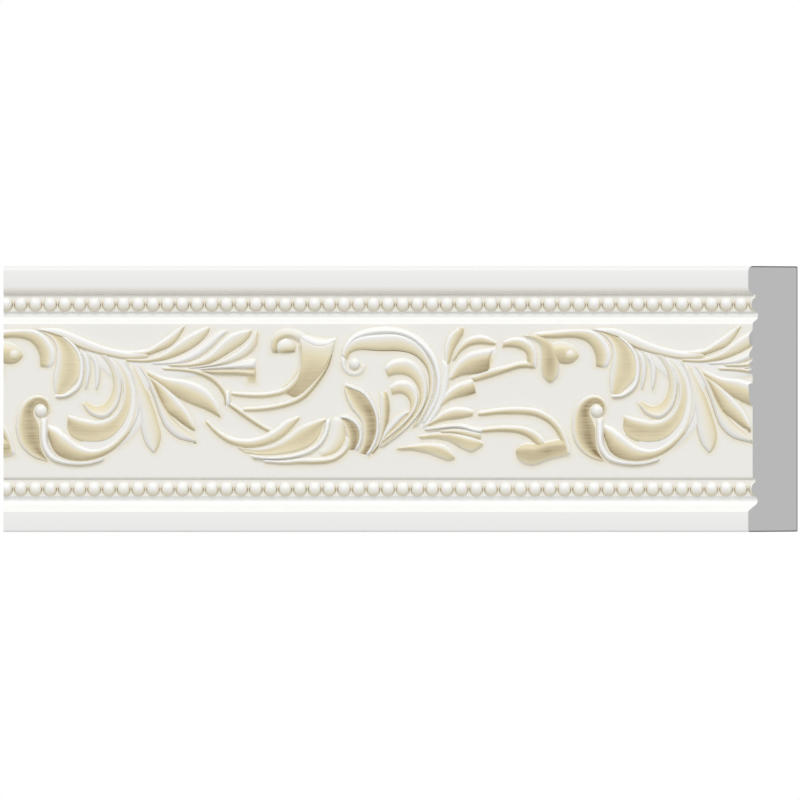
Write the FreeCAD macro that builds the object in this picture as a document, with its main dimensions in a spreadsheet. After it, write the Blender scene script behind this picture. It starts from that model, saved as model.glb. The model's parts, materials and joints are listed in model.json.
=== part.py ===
"""Ornamental panel moulding: one sawn length of an embossed profile that lies on its flat back.

X runs along the stick, Y across its face and Z up from the back to the face, in millimetres. The origin is
the middle of the back. The left end is sawn square, and the right end is mitred so that its section shows.
"""

import FreeCAD
import Part
import Sketcher
import math
import os

from FreeCAD import Vector
from types import SimpleNamespace

doc = FreeCAD.newDocument("panel_moulding")

# Driving dimensions. Depths are measured down from the two flat bands, which are the face of the section.
SIZES = {
    "length": 284.0,
    "width": 95.0,
    "thickness": 18.0,
    "mitre_angle": 45.0,
    "saw_waste": 12.0,
    "top_band": 10.1,
    "top_edge_radius": 1.8,
    "bottom_band": 7.5,
    "bottom_edge_radius": 0.8,
    "bed_width": 6.2,
    "bed_depth": 2.6,
    "step_run": 0.5,
    "quirk_width": 1.8,
    "quirk_depth": 3.5,
    "upper_slope_run": 1.8,
    "field_depth": 1.6,
    "cove_width": 3.1,
    "cove_radius": 1.85,
    "lower_slope_run": 2.1,
    "ornament_repeat": 198.6,
    "ornament_phase": 1.2,
    "leaf_relief": 1.3,
    "rib_relief": 2.0,
    "pearl_pitch": 5.25,
    "pearl_radius": 2.55,
    "pearl_relief": 1.8,
    "pearl_root": 0.4,
    "pearl_crown_width": 1.4,
    "pearl_crown_drop": 0.9,
}
PEARL_SIDES = 8
size = SimpleNamespace(**SIZES)

# One repeat of the ornament, drawn on a cell whose units span the repeat along X and the field across Y.
# An outline goes round a leaf by corner, bend, corner, bend: a bend is where the arc to the next corner
# passes, None makes that side straight, and SMOOTH makes it an arc that runs on from the side before.
CELL_LENGTH = 556
CELL_WIDTH = 156
SMOOTH = "smooth"
LEAVES = {
    "hook_leaf": [(-12, 147), (14, 149), (36, 148), (50, 137), (53, 112), None,
                  (40, 112), (38, 128), (27, 139), (8, 142), (-12, 142), None],
    "main_stem": [(46, 151), (68, 148), (88, 139), SMOOTH, (162, 138), SMOOTH, (186, 154), (176, 138),
                  (160, 128), SMOOTH, (92, 127), SMOOTH, (50, 147), None],
    "broad_leaf": [(55, 140), (58, 115), (54, 82), (75, 86), (84, 105), (80, 126), (65, 137), None],
    "hanging_leaf": [(88, 124), (91, 108), (86, 90), None, (96, 88), (101, 106), (95, 122), None],
    "inner_hook": [(101, 121), (112, 102), (109, 80), (97, 72), (86, 77), None,
                   (82, 74), (103, 61), (118, 76), (120, 100), (108, 121), None],
    "middle_hook": [(113, 119), (124, 92), (115, 65), SMOOTH, (68, 63), None,
                    (67, 51), (94, 37), (121, 50), SMOOTH, (119, 118), None],
    "outer_hook": [(124, 117), (134, 88), (127, 52), (98, 30), (66, 44), (58, 51), (48, 54), None,
                   (48, 41), (72, 20), (104, 24), (137, 64), (130, 116), None],
    "volute": [(47, 19), (21, 33), (18, 64), SMOOTH, (46, 80), SMOOTH, (46, 62), None,
               (43, 65), (45, 71), (41, 75), SMOOTH, (34, 65), SMOOTH, (39, 38), SMOOTH, (44, 23), None],
    "first_spear": [(144, 88), (141, 54), (153, 26), (159, 48), (149, 88), None],
    "second_spear": [(152, 94), (163, 62), (196, 37), (172, 61), (157, 95), None],
    "folded_spear": [(159, 99), (178, 81), (197, 51), (174, 72)],
    "large_leaf": [(153, 108), (195, 96), (221, 63), (185, 80)],
    "second_fan_leaf": [(146, 121), (162, 126), (176, 135), SMOOTH, (210, 152), (200, 138),
                        (184, 126), SMOOTH, (146, 117), None],
    "third_fan_leaf": [(158, 115), (193, 128), (228, 149), (202, 124)],
    "fourth_fan_leaf": [(176, 114), (212, 125), (252, 150), (228, 123)],
    "fifth_fan_leaf": [(218, 117), (246, 130), (261, 149), (250, 127)],
    "trumpet": [(212, 111), (234, 114), (256, 120), None, (256, 98), (248, 103), (238, 104), None,
                (212, 106), None],
    "side_stem": [(184, 110), (210, 104), (231, 76), None, (227, 74), (206, 100), (184, 106), None],
    "comma_scroll": [(231, 88), (258, 86), (280, 91), SMOOTH, (297, 146), (315, 138), (335, 140), (320, 95),
                     (286, 73), SMOOTH, (250, 68), None, (250, 72), (270, 73), (288, 78), None,
                     (287, 86), None, (262, 82), None, (231, 84), None],
    "thin_stem": [(236, 74), None, (267, 53), None, (264, 49), None, (234, 70), None],
    "first_lower_leaf": [(208, 58), (227, 44), (250, 40), SMOOTH, (300, 63), (281, 41), (250, 32),
                         SMOOTH, (205, 56), None],
    "second_lower_leaf": [(262, 30), (276, 34), (288, 42), SMOOTH, (327, 60), (316, 38), (288, 26),
                          SMOOTH, (262, 26), None],
    "plain_leaf": [(321, 25), (331, 42), (335, 62), None, (344, 61), (344, 39), (326, 23), None],
    "bottom_stem": [(262, 20), None, (322, 20), (340, 27), (346, 43), None, (350, 42), (346, 25),
                    (330, 17), None, (262, 15), None],
    "left_bud": [(352, 28), (353, 45), (348, 62), (361, 55), (358, 28), None],
    "right_bud": [(363, 26), (366, 47), (358, 66), (349, 80), (344, 96), (367, 86), (377, 64), (378, 42),
                  (369, 23), None],
    "stamen": [(378, 28), (383, 54), (381, 88), None, (389, 88), (391, 58), (381, 27), None],
    "great_hook": [(341, 118), (351, 141), (378, 151), (426, 136), (441, 92), (437, 73), (426, 56), None,
                   (415, 54), (427, 76), (429, 100), (415, 123), (390, 129), None, (362, 129), (351, 127),
                   (347, 119), None],
    "hook_curl": [(341, 115), (347, 103), (358, 101), (365, 106), (367, 113), None,
                  (362, 113), (360, 108), (355, 106), (349, 109), (347, 115), None],
    "inner_crook": [(384, 111), (406, 121), (425, 102), (420, 66), (396, 41), None,
                    (390, 41), (413, 65), (419, 88), (407, 105), (388, 102), None],
    "small_crook": [(390, 93), (406, 100), (417, 85), SMOOTH, (401, 51), None,
                    (395, 54), (406, 66), (408, 79), SMOOTH, (392, 83), None],
    "first_back_leaf": [(446, 114), (446, 138), (462, 152), (459, 137), (451, 114), None],
    "second_back_leaf": [(457, 125), (470, 142), (497, 136), (476, 133), (461, 122), None],
    "third_back_leaf": [(450, 101), (467, 126), (497, 131), (491, 119), (490, 107), (470, 104),
                        (452, 98), None],
    "fourth_back_leaf": [(442, 78), (455, 95), (474, 100), None, (477, 86), (460, 83), (445, 75), None],
    "fifth_back_leaf": [(435, 63), (454, 72), (475, 69), None, (475, 62), (455, 61), (437, 58), None],
    "sixth_back_leaf": [(432, 52), (454, 55), (483, 50), None, (483, 46), (454, 51), (432, 48), None],
    "seventh_back_leaf": [(424, 45), (454, 47), (484, 36), (475, 27), (462, 29), SMOOTH, (424, 41), None],
    "eighth_back_leaf": [(402, 33), (437, 35), (456, 20), (443, 19), (430, 24), SMOOTH, (402, 29), None],
    "arch_strand": [(480, 67), (526, 72), (551, 63), SMOOTH, (568, 41), None,
                    (560, 40), (554, 50), (545, 57), SMOOTH, (480, 63), None],
    "inner_strand": [(486, 51), (514, 53), (534, 48), (540, 45), (544, 41), None,
                     (537, 38), (526, 45), (510, 47), None, (486, 47), None],
    "arch_foot": [(515, 26), (530, 35), (569, 38), None, (571, 24), (558, 22), (546, 19), SMOOTH],
    "link_stem": [(495, 110), (514, 115), (535, 117), None, (536, 111), (516, 110), (495, 105), None],
    "reed_hook": [(503, 138), (525, 139), (537, 120), None, (527, 120), (520, 130), (503, 132), None],
    "hanging_finger": [(531, 140), (542, 127), (543, 102), (548, 96), (553, 99), (559, 121),
                       (541, 141), None],
    "small_curl": [(563, 136), (579, 130), (577, 114), (565, 120)],
}
RIBS = {
    "volute_stem": [(41, 60), (41, 36), (52, 19), SMOOTH, (64, 15), SMOOTH, (105, 19), None,
                    (106, 23), (85, 19), (66, 19), SMOOTH, (55, 24), SMOOTH, (47, 60), None],
    "volute_eye": [(35, 68), (41, 74), (47, 68), (41, 62)],
    "broad_leaf_rim": [(67, 136), (84, 107), (55, 81), None, (55, 85), (78, 107), (63, 135), None],
    "comma_curl": [(300, 147), (277, 146), (271, 126), None, (276, 127), (281, 140), (298, 139), None],
    "comma_eye": [(278, 131), (286, 139), (294, 131), (286, 123)],
    "great_hook_rib": [(352, 138), (378, 148), (404, 145), (428, 126), (438, 93), None,
                       (434, 93), (423, 124), (401, 141), (378, 144), (354, 134), None],
    "great_hook_eye": [(349, 115), (355, 121), (361, 115), (355, 109)],
    "knot": [(224, 89), None, (230, 89), None, (230, 73), None, (224, 73), None],
}

sheet = doc.addObject("Spreadsheet::Sheet", "sizes")
for row, (alias, value) in enumerate(SIZES.items(), start=1):
    sheet.set(f"A{row}", alias)
    sheet.set(f"B{row}", str(value))
    sheet.setAlias(f"B{row}", alias)
doc.recompute()

body = doc.addObject("PartDesign::Body", "panel_moulding")
body.Label = "panel_moulding"

# Places that several features share, as expressions of the sheet's cells.
FACE = "sizes.thickness"
FIELD = "(sizes.thickness - sizes.field_depth)"
BED = "(sizes.thickness - sizes.bed_depth)"
QUIRK = "(sizes.thickness - sizes.quirk_depth)"
LOW_BED_Y = "(-sizes.width / 2 + sizes.bottom_band + sizes.lower_slope_run + sizes.cove_width)"
FIELD_LOW_Y = f"({LOW_BED_Y} + sizes.bed_width)"
STEP_Y = "(sizes.width / 2 - sizes.top_band - sizes.bed_width)"
FIELD_WIDTH = f"({STEP_Y} - sizes.step_run - sizes.quirk_width - sizes.upper_slope_run - {FIELD_LOW_Y})"
MITRE_RUN = "(sizes.thickness * tan(sizes.mitre_angle * 1 deg))"
WASTE = "(sizes.ornament_repeat + sizes.saw_waste)"


def origin_feature(role):
    """One of the body's own origin planes or axes."""
    return next(f for f in body.Origin.OriginFeatures if f.Role == role)


def new_sketch(name, plane, height=None):
    """A sketch on one of the body's origin planes, raised off it by an expression."""
    sketch = body.newObject("Sketcher::SketchObject", name)
    sketch.AttachmentSupport = (origin_feature(plane), [""])
    sketch.MapMode = "FlatFace"
    if height:
        sketch.setExpression("AttachmentOffset.Base.z", height)
    return sketch


def bind(sketch, name, expression, *constraint):
    """Adds a dimension to a sketch, names it and binds it to the sheet."""
    value = float(sketch.evalExpression(expression))
    index = sketch.addConstraint(Sketcher.Constraint(*constraint, value))
    sketch.renameConstraint(index, name)
    sketch.setExpression(f"Constraints.{name}", expression)


def line(sketch, start, end):
    """Adds a line and gives its number in the sketch."""
    return sketch.addGeometry(Part.LineSegment(Vector(*start, 0), Vector(*end, 0)), False)


def arc(sketch, centre, radius, start_angle, end_angle):
    """Adds an arc, counter-clockwise between two angles, and gives its number in the sketch."""
    circle = Part.Circle(Vector(*centre, 0), Vector(0, 0, 1), radius)
    return sketch.addGeometry(Part.ArcOfCircle(circle, start_angle, end_angle), False)


RIGHT_ANGLE = math.pi / 2
START, END, CENTRE = range(1, 4)
ORIGIN = (-1, START)
LEVEL_TOLERANCE = 1e-6
FACET_TURN = math.radians(24)


def ornament_sketch(name, outlines):
    """Closed outlines on the field, drawn at their shares of one cell, with their arcs in a few facets."""
    s = new_sketch(name, "XY_Plane", FIELD)
    first_cell = "-sizes.length / 2 - sizes.ornament_phase - sizes.ornament_repeat"
    s.setExpression("AttachmentOffset.Base.x", first_cell)
    s.setExpression("AttachmentOffset.Base.y", FIELD_LOW_Y)
    unit_x = float(s.evalExpression("sizes.ornament_repeat")) / CELL_LENGTH
    unit_y = float(s.evalExpression(FIELD_WIDTH)) / CELL_WIDTH

    def place(point):
        return Vector(point[0] * unit_x, point[1] * unit_y, 0)

    sides = []
    for outline in outlines.values():
        corners = [place(corner) for corner in outline[::2]]
        for bend, start, end in zip(outline[1::2], corners, corners[1:] + corners[:1]):
            if bend is None:
                side = Part.LineSegment(start, end)
                points = [start, end]
            else:
                middle = smooth_bend(start, end, heading) if bend == SMOOTH else place(bend)
                side = Part.Arc(start, middle, end)
                facets = math.ceil((side.LastParameter - side.FirstParameter) / FACET_TURN)
                points = side.discretize(facets + 1)
            heading = side.tangent(side.LastParameter)[0]
            sides += [Part.LineSegment(*ends) for ends in zip(points, points[1:])]
    s.addGeometry(sides, False)
    return s


def smooth_bend(start, end, heading):
    """The middle of the arc that leaves one point on a heading and ends at another point."""
    chord = end - start
    turn = math.atan2(heading.y, heading.x) - math.atan2(chord.y, chord.x)
    turn = math.remainder(turn, 2 * math.pi)
    return start + chord / 2 + Vector(-chord.y, chord.x, 0) / 2 * math.tan(turn / 2)


def section_sketch():
    """The section of the stick, drawn counter-clockwise from the back over the face."""
    s = new_sketch("section", "YZ_Plane")
    edge = size.width / 2
    face = size.thickness
    bed = face - size.bed_depth
    quirk_floor = face - size.quirk_depth
    ground = face - size.field_depth
    top_bed = edge - size.top_band
    step = top_bed - size.bed_width
    quirk_top = step - size.step_run
    quirk_foot = quirk_top - size.quirk_width
    field_top = quirk_foot - size.upper_slope_run
    low_band = size.bottom_band - edge
    slope_foot = low_band + size.lower_slope_run
    low_bed = slope_foot + size.cove_width
    field_side = low_bed + size.bed_width
    round_radius = ground - bed
    top_centre = (edge - size.top_edge_radius, face - size.top_edge_radius)
    bottom_centre = (size.bottom_edge_radius - edge, face - size.bottom_edge_radius)
    cove_rise = math.sqrt(size.cove_radius**2 - (size.cove_width / 2) ** 2)
    cove_centre = (slope_foot + size.cove_width / 2, bed + cove_rise)
    cove_half_turn = math.asin(size.cove_width / 2 / size.cove_radius)

    back = line(s, (-edge, 0), (edge, 0))
    top_edge = line(s, (edge, 0), (edge, top_centre[1]))
    top_round = arc(s, top_centre, size.top_edge_radius, 0, RIGHT_ANGLE)
    top_band = line(s, (top_centre[0], face), (top_bed + size.bed_depth, face))
    shoulder = arc(s, (top_bed + size.bed_depth, bed), size.bed_depth, RIGHT_ANGLE, 2 * RIGHT_ANGLE)
    upper_bed = line(s, (top_bed, bed), (step, bed))
    upper_step = line(s, (step, bed), (quirk_top, quirk_floor))
    quirk = line(s, (quirk_top, quirk_floor), (quirk_foot, quirk_floor))
    upper_slope = line(s, (quirk_foot, quirk_floor), (field_top, ground))
    field = line(s, (field_top, ground), (field_side + round_radius, ground))
    field_round = arc(s, (field_side + round_radius, bed), round_radius, RIGHT_ANGLE, 2 * RIGHT_ANGLE)
    lower_bed = line(s, (field_side, bed), (low_bed, bed))
    cove = arc(s, cove_centre, size.cove_radius, -RIGHT_ANGLE - cove_half_turn, cove_half_turn - RIGHT_ANGLE)
    lower_slope = line(s, (slope_foot, bed), (low_band, face))
    bottom_band = line(s, (low_band, face), (bottom_centre[0], face))
    bottom_round = arc(s, bottom_centre, size.bottom_edge_radius, RIGHT_ANGLE, 2 * RIGHT_ANGLE)
    bottom_edge = line(s, (-edge, bottom_centre[1]), (-edge, 0))

    def fix(*constraint):
        s.addConstraint(Sketcher.Constraint(*constraint))

    # A concave arc keeps its own counter-clockwise sense, so the cove ends where the bed starts it.
    cove_from, cove_to = END, START
    for kind, first, second in [
        ("Coincident", (back, END), (top_edge, START)),
        ("Tangent", (top_edge, END), (top_round, START)),
        ("Tangent", (top_round, END), (top_band, START)),
        ("Tangent", (top_band, END), (shoulder, START)),
        ("Coincident", (shoulder, END), (upper_bed, START)),
        ("Coincident", (upper_bed, END), (upper_step, START)),
        ("Coincident", (upper_step, END), (quirk, START)),
        ("Coincident", (quirk, END), (upper_slope, START)),
        ("Coincident", (upper_slope, END), (field, START)),
        ("Tangent", (field, END), (field_round, START)),
        ("Coincident", (field_round, END), (lower_bed, START)),
        ("Coincident", (lower_bed, END), (cove, cove_from)),
        ("Coincident", (cove, cove_to), (lower_slope, START)),
        ("Coincident", (lower_slope, END), (bottom_band, START)),
        ("Tangent", (bottom_band, END), (bottom_round, START)),
        ("Tangent", (bottom_round, END), (bottom_edge, START)),
        ("Coincident", (bottom_edge, END), (back, START)),
    ]:
        fix(kind, *first, *second)
    for flat in (back, top_band, upper_bed, quirk, field, lower_bed, bottom_band):
        fix("Horizontal", flat)
    for upright in (top_edge, bottom_edge):
        fix("Vertical", upright)
    for quarter_round in (shoulder, field_round):
        fix("Horizontal", quarter_round, CENTRE, quarter_round, END)
    fix("Symmetric", back, START, back, END, *ORIGIN)
    fix("Horizontal", top_band, END, bottom_band, START)
    fix("Horizontal", upper_bed, END, lower_bed, START)
    fix("Horizontal", cove, cove_from, cove, cove_to)

    bind(s, "width", "sizes.width", "DistanceX", back, START, back, END)
    bind(s, "face", FACE, "DistanceY", *ORIGIN, top_band, START)
    bind(s, "bed", BED, "DistanceY", *ORIGIN, upper_bed, START)
    bind(s, "quirk", QUIRK, "DistanceY", *ORIGIN, quirk, START)
    bind(s, "field", FIELD, "DistanceY", *ORIGIN, field, START)
    bind(s, "top_edge_radius", "sizes.top_edge_radius", "Radius", top_round)
    bind(s, "bottom_edge_radius", "sizes.bottom_edge_radius", "Radius", bottom_round)
    bind(s, "cove_radius", "sizes.cove_radius", "Radius", cove)
    runs = [
        ("top_band", (shoulder, END), (top_edge, START)),
        ("bed_width", (upper_bed, END), (upper_bed, START)),
        ("step_run", (upper_step, END), (upper_step, START)),
        ("quirk_width", (quirk, END), (quirk, START)),
        ("upper_slope_run", (upper_slope, END), (upper_slope, START)),
        ("cove_width", (cove, cove_to), (cove, cove_from)),
        ("lower_slope_run", (lower_slope, END), (lower_slope, START)),
        ("bottom_band", (bottom_edge, END), (bottom_band, START)),
    ]
    for alias, left, right in runs:
        bind(s, alias, f"sizes.{alias}", "DistanceX", *left, *right)
    bind(s, "lower_bed", "sizes.bed_width", "DistanceX", lower_bed, END, lower_bed, START)
    return s


def pearl_sketch():
    """The eight-sided foot of the first pearl, on the lower bed and half a pitch past the mitre."""
    s = new_sketch("pearl_foot", "XY_Plane", f"{BED} - sizes.pearl_root")
    turn = 2 * math.pi / PEARL_SIDES
    corners = [
        (size.pearl_radius * math.cos((i + 0.5) * turn), size.pearl_radius * math.sin((i + 0.5) * turn))
        for i in range(PEARL_SIDES)
    ]
    circle = s.addGeometry(Part.Circle(Vector(0, 0, 0), Vector(0, 0, 1), size.pearl_radius), True)
    sides = [line(s, *ends) for ends in loop_of(corners)]
    for i, side in enumerate(sides):
        s.addConstraint(Sketcher.Constraint("Coincident", side, END, sides[(i + 1) % PEARL_SIDES], START))
        s.addConstraint(Sketcher.Constraint("PointOnObject", side, START, circle))
    for side in sides[1:]:
        s.addConstraint(Sketcher.Constraint("Equal", sides[0], side))
    s.addConstraint(Sketcher.Constraint("Vertical", sides[-1]))
    s.addConstraint(Sketcher.Constraint("Coincident", circle, CENTRE, *ORIGIN))
    bind(s, "radius", "sizes.pearl_radius", "Radius", circle)
    s.setExpression("AttachmentOffset.Base.x", f"sizes.length / 2 - {MITRE_RUN} + sizes.pearl_pitch / 2")
    s.setExpression("AttachmentOffset.Base.y", f"{LOW_BED_Y} + sizes.pearl_radius")
    return s


def crown(base):
    """Bevels the top of the pearl's stud to a dome, as part of the shape that is patterned."""
    top = float(base.evalExpression(f"{BED} + sizes.pearl_relief"))
    ring = [
        f"Edge{i}"
        for i, edge in enumerate(base.Shape.Edges, start=1)
        if all(math.isclose(v.Z, top, abs_tol=LEVEL_TOLERANCE) for v in edge.Vertexes)
    ]
    bevel = body.newObject("PartDesign::Chamfer", "pearl_crown")
    bevel.Base = (base, ring)
    bevel.ChamferType = "Two distances"
    bevel.setExpression("Size", "sizes.pearl_crown_drop")
    bevel.setExpression("Size2", "sizes.pearl_crown_width")
    bevel.SupportTransform = True
    doc.recompute()
    return bevel


def saw_cuts_sketch():
    """Both saw cuts in one side view: square on the left, mitred from the face to the back on the right."""
    s = new_sketch("saw_cuts", "XZ_Plane")
    end = size.length / 2
    low, high = -size.saw_waste, size.thickness + size.saw_waste
    past = end + size.ornament_repeat + 2 * size.saw_waste
    lean = math.tan(math.radians(size.mitre_angle))
    square_corners = [(-past, low), (-end, low), (-end, high), (-past, high)]
    mitre_corners = [(end - low * lean, low), (past, low), (past, high), (end - high * lean, high)]
    square = [line(s, *ends) for ends in loop_of(square_corners)]
    mitre = [line(s, *ends) for ends in loop_of(mitre_corners)]

    def fix(*constraint):
        s.addConstraint(Sketcher.Constraint(*constraint))

    for outline in (square, mitre):
        for i, side in enumerate(outline):
            fix("Coincident", side, END, outline[(i + 1) % len(outline)], START)
        fix("Horizontal", outline[0])
        fix("Vertical", outline[1])
        fix("Horizontal", outline[2])
    fix("Vertical", square[3])
    clear = "sizes.saw_waste"
    above = "(sizes.thickness + sizes.saw_waste)"
    far = f"(sizes.length / 2 + {WASTE} + {clear})"
    toe = f"(sizes.length / 2 + {clear} * tan(sizes.mitre_angle * 1 deg))"
    heel = f"(sizes.length / 2 - {above} * tan(sizes.mitre_angle * 1 deg))"
    bind(s, "square_end", "sizes.length / 2", "DistanceX", square[0], END, *ORIGIN)
    bind(s, "square_far", far, "DistanceX", square[0], START, *ORIGIN)
    bind(s, "square_below", clear, "DistanceY", square[0], START, *ORIGIN)
    bind(s, "square_above", above, "DistanceY", *ORIGIN, square[2], START)
    bind(s, "mitre_toe", toe, "DistanceX", *ORIGIN, mitre[0], START)
    bind(s, "mitre_heel", heel, "DistanceX", *ORIGIN, mitre[2], END)
    bind(s, "mitre_far", far, "DistanceX", *ORIGIN, mitre[0], END)
    bind(s, "mitre_below", clear, "DistanceY", mitre[0], START, *ORIGIN)
    bind(s, "mitre_above", above, "DistanceY", *ORIGIN, mitre[2], START)
    return s


def loop_of(corners):
    """The pairs of corners that close a polygon."""
    return list(zip(corners, corners[1:] + corners[:1]))


def raised(name, sketch, length):
    """A pad on the face of the stick."""
    pad = body.newObject("PartDesign::Pad", name)
    pad.Profile = sketch
    pad.setExpression("Length", length)
    doc.recompute()
    return pad


# The stick as it leaves the rollers, longer than the finished piece by a whole repeat at each end.
stick = body.newObject("PartDesign::Pad", "stick")
stick.Profile = section_sketch()
stick.SideType = "Symmetric"
stick.setExpression("Length", f"sizes.length + 2 * {WASTE}")
doc.recompute()

# The pearls: an eight-sided stud against each bed's lower side, bevelled to a dome, in two long rows.
stud = raised("pearl_stud", pearl_sketch(), "sizes.pearl_relief + sizes.pearl_root")
pearl = crown(stud)

pearl_rows = body.newObject("PartDesign::LinearPattern", "pearl_rows")
pearl_rows.Originals = [pearl]
pearl_rows.Direction = (origin_feature("X_Axis"), [""])
pearl_rows.Reversed = True
pearl_rows.Mode = "Spacing"
pearl_rows.setExpression("Offset", "sizes.pearl_pitch")
pearl_rows.setExpression("Occurrences", f"ceil((sizes.length - {MITRE_RUN}) / sizes.pearl_pitch) + 1")
pearl_rows.Direction2 = (origin_feature("Y_Axis"), [""])
pearl_rows.Mode2 = "Extent"
pearl_rows.setExpression("Length2", f"{STEP_Y} - {LOW_BED_Y}")
pearl_rows.Occurrences2 = 2
body.Tip = pearl_rows
doc.recompute()

# The ornament: the leaves, then the higher ribs and scroll eyes on them, repeated along the field.
leaves = raised("leaves", ornament_sketch("leaf_outlines", LEAVES), "sizes.leaf_relief")
ribs = raised("ribs", ornament_sketch("rib_outlines", RIBS), "sizes.rib_relief")

ornament = body.newObject("PartDesign::LinearPattern", "ornament")
ornament.Originals = [leaves, ribs]
ornament.Direction = (origin_feature("X_Axis"), [""])
ornament.Mode = "Spacing"
ornament.setExpression("Offset", "sizes.ornament_repeat")
ornament.setExpression("Occurrences", "ceil(sizes.length / sizes.ornament_repeat) + 1")
body.Tip = ornament
doc.recompute()

# The saw takes the waste off both ends, through the pearls as well.
saw_cuts = body.newObject("PartDesign::Pocket", "saw_cut_ends")
saw_cuts.Profile = saw_cuts_sketch()
saw_cuts.Type = "ThroughAll"
saw_cuts.SideType = "Symmetric"
body.Tip = saw_cuts
doc.recompute()


def check(document):
    """Stops on any object that failed, and on a body that is not one valid solid."""
    for item in document.Objects:
        if "Invalid" in item.State or "Error" in item.State:
            raise RuntimeError(f"{item.Label} failed: {item.State}")
    for piece in document.findObjects("PartDesign::Body"):
        if piece.Shape.isNull() or not piece.Shape.isValid() or len(piece.Shape.Solids) != 1:
            raise RuntimeError(f"{piece.Label} is not one valid solid")


check(doc)
os.makedirs("parts", exist_ok=True)
body.Shape.exportStep(f"parts/{body.Label}.step")
print(body.Label, body.Shape.BoundBox, round(body.Shape.Volume), "mm3", len(body.Shape.Faces), "faces")
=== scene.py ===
import json
from math import asin, cos, radians, sin

import bmesh
import bpy
from mathutils import Matrix, Vector
from mathutils.bvhtree import BVHTree
from mathutils.geometry import interpolate_bezier
from mathutils.interpolate import poly_3d_calc

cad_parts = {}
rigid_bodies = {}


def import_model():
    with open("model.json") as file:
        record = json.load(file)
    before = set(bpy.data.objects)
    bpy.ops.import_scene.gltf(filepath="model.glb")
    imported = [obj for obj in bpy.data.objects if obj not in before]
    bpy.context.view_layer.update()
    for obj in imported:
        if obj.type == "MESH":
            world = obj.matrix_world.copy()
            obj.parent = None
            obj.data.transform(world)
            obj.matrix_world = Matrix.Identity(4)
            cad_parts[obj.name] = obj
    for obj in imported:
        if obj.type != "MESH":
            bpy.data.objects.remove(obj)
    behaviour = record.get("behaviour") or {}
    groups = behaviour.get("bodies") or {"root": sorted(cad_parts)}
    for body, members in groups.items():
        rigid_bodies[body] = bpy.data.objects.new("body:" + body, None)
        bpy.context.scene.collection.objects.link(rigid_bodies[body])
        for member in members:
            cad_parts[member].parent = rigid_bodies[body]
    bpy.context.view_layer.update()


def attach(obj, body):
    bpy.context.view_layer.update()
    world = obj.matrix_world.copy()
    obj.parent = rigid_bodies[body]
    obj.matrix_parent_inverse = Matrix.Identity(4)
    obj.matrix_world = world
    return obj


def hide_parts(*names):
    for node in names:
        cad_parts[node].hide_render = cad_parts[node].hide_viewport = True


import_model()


# Camera: it hangs straight above the face, with +Y at the top of the picture. The lens is so long
# that the sawn slope at the right shows at its full width and nothing leans.
MM = 0.001
FACE = 18
SHOWN_WIDTH = 285.7 * MM
FRAME_CENTRE = Vector((-0.36, -0.36, 0)) * MM
LENS = 800

camera = bpy.data.objects.new("camera", bpy.data.cameras.new("camera"))
camera.data.lens = LENS
camera_height = FACE * MM + SHOWN_WIDTH * LENS / camera.data.sensor_width
camera.location = FRAME_CENTRE + Vector((0, 0, camera_height))
bpy.context.collection.objects.link(camera)
bpy.context.scene.camera = camera
bpy.context.scene.view_settings.view_transform = "Standard"


# Studio: one broad soft light from the top of the picture, half way up, and an even white room.
# Together they give a level face about the brightness that its colour is written at.
KEY_ENERGY = 1.46
KEY_SOFTNESS = radians(26)
KEY_ELEVATION = radians(51)
ROOM_LEVEL = 0.62
FLOOR_SIZE = 3.0
FLOOR_DROP = 0.2 * MM
FLOOR_SHADE = 0.82


def linear(hex_colour):
    """The linear colour, with alpha, of an sRGB hex value such as ECECEA."""
    channels = [int(hex_colour[place:place + 2], 16) / 255 for place in (0, 2, 4)]
    return [c / 12.92 if c <= 0.04045 else ((c + 0.055) / 1.055) ** 2.4 for c in channels] + [1.0]


def add_node(tree, kind, inputs=None, **settings):
    """Adds a node: settings are its properties, and inputs its sockets, each a value or a socket."""
    node = tree.nodes.new(kind)
    for name, value in settings.items():
        setattr(node, name, value)
    for name, value in (inputs or {}).items():
        if isinstance(value, bpy.types.NodeSocket):
            tree.links.new(value, node.inputs[name])
        else:
            node.inputs[name].default_value = value
    return node


def seen_directly(tree):
    """1 for a ray that shows the background itself, in the picture or in a shiny surface."""
    ray = add_node(tree, "ShaderNodeLightPath")
    gloss = add_node(tree, "ShaderNodeMath", {0: ray.outputs["Is Camera Ray"],
                                              1: ray.outputs["Is Glossy Ray"]}, operation="MAXIMUM")
    return add_node(tree, "ShaderNodeMath", {0: gloss.outputs[0], 1: ray.outputs["Is Transmission Ray"]},
                    operation="MAXIMUM").outputs[0]


key = bpy.data.objects.new("key_light", bpy.data.lights.new("key_light", "SUN"))
key.data.energy = KEY_ENERGY
key.data.angle = KEY_SOFTNESS
key.rotation_euler.x = KEY_ELEVATION - radians(90)
bpy.context.collection.objects.link(key)

room = bpy.data.worlds.new("white_room")
bpy.context.scene.world = room
room.use_nodes = True
room.node_tree.nodes.clear()
room_level = add_node(room.node_tree, "ShaderNodeMapRange",
                      {"Value": seen_directly(room.node_tree), "To Min": ROOM_LEVEL, "To Max": 1.0})
room_light = add_node(room.node_tree, "ShaderNodeBackground",
                      {"Color": (1, 1, 1, 1), "Strength": room_level.outputs[0]})
add_node(room.node_tree, "ShaderNodeOutputWorld", {"Surface": room_light.outputs[0]})

floor_mesh = bmesh.new()
bmesh.ops.create_grid(floor_mesh, x_segments=1, y_segments=1, size=FLOOR_SIZE / 2,
                      matrix=Matrix.Translation((0, 0, -FLOOR_DROP)))
floor = bpy.data.objects.new("floor", bpy.data.meshes.new("floor"))
floor_mesh.to_mesh(floor.data)
floor_mesh.free()
bpy.context.collection.objects.link(floor)

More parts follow.
